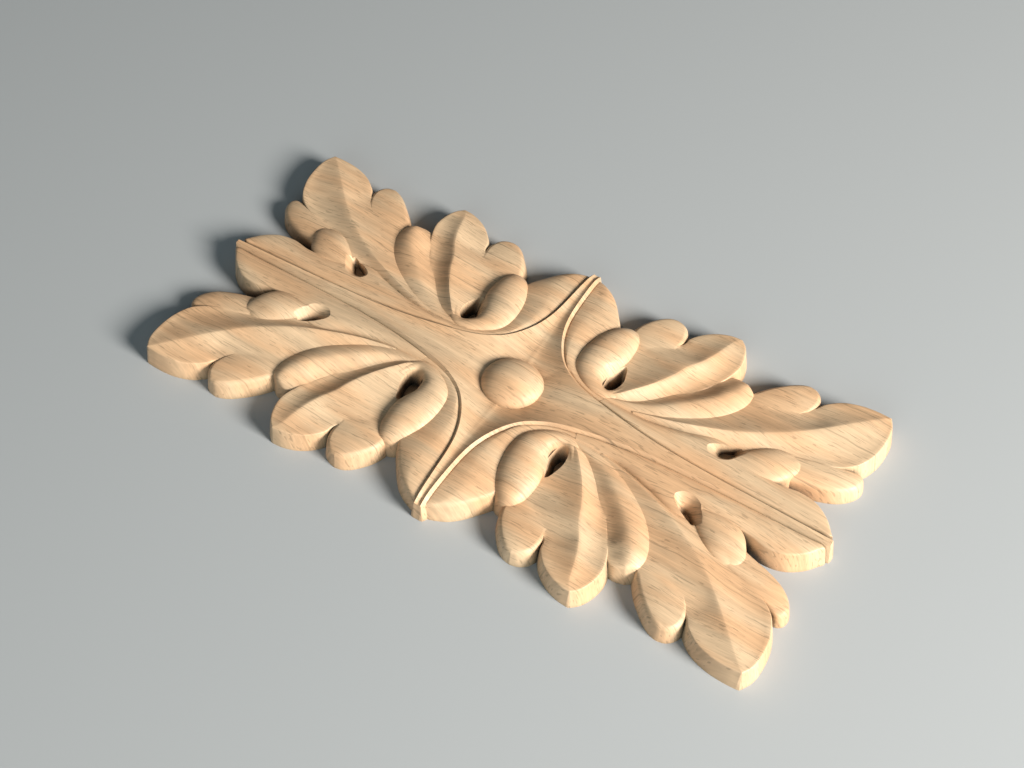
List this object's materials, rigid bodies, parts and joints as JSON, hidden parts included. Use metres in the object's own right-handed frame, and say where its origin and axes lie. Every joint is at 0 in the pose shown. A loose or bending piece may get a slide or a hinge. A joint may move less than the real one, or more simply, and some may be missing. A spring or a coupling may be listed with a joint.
{
  "type": "carved wooden rosette",
  "caption": "Oblong applied rosette of carved wood: a domed boss in a dished four-armed star, with acanthus leaves curling out in each quarter. Flat back.",
  "frame": {"origin": "middle of the flat back, where the two arms of the star cross", "axes": "+X along the two long arms and the grain, +Y along the two short arms, +Z out of the carved face"},
  "size_m": [0.2026, 0.1004, 0.0108],
  "materials": {
    "bare_wood": "sanded, unfinished light hardwood, satin"
  },
  "bodies": {
    "root": {"carved_rosette": "bare_wood"}
  },
  "joints": []
}
